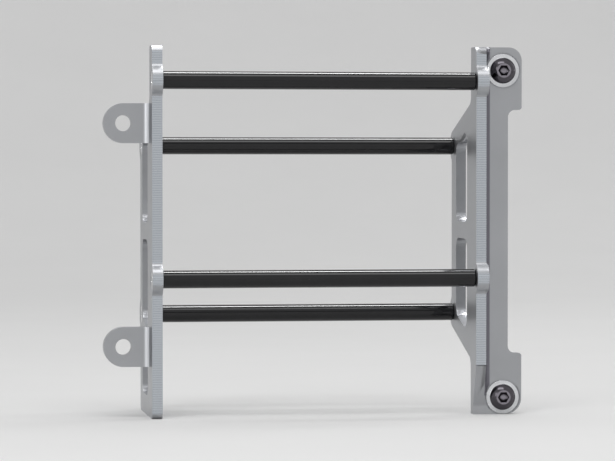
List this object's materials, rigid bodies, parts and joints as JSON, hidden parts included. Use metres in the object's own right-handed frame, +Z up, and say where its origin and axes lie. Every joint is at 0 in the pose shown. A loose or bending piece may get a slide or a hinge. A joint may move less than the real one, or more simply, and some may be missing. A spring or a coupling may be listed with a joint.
{
  "type": "motorcycle radiator guard",
  "caption": "Cage-like radiator guard for a dirt bike: a machined side bracket with mounting screws, an inner bracket with ears, and round cross rods between them.",
  "frame": {"origin": "on the back face of the outer bracket's flange, on the screw line, halfway between the two mount screws", "axes": "+X outwards from the motorcycle (this is the guard at the right of the picture), +Y rearwards through the radiator, +Z up along the bracket"},
  "size_m": [0.1713, 0.0591, 0.15],
  "materials": {
    "machined_aluminium": "bare machined billet, satin, with fine milling lines",
    "black_rod": "gloss black coating on steel",
    "zinc_screw": "bright zinc-plated steel"
  },
  "bodies": {
    "root": {"outer_bracket": "machined_aluminium", "inner_bracket": "machined_aluminium", "upper_front_rod": "black_rod", "lower_front_rod": "black_rod", "upper_rear_rod": "black_rod", "lower_rear_rod": "black_rod", "upper_mount_screw": "zinc_screw", "lower_mount_screw": "zinc_screw", "upper_front_rod_screw": "zinc_screw", "lower_front_rod_screw": "zinc_screw", "upper_rear_inner_screw": "zinc_screw", "lower_rear_inner_screw": "zinc_screw", "upper_rear_outer_screw": "zinc_screw", "lower_rear_outer_screw": "zinc_screw"}
  },
  "joints": []
}
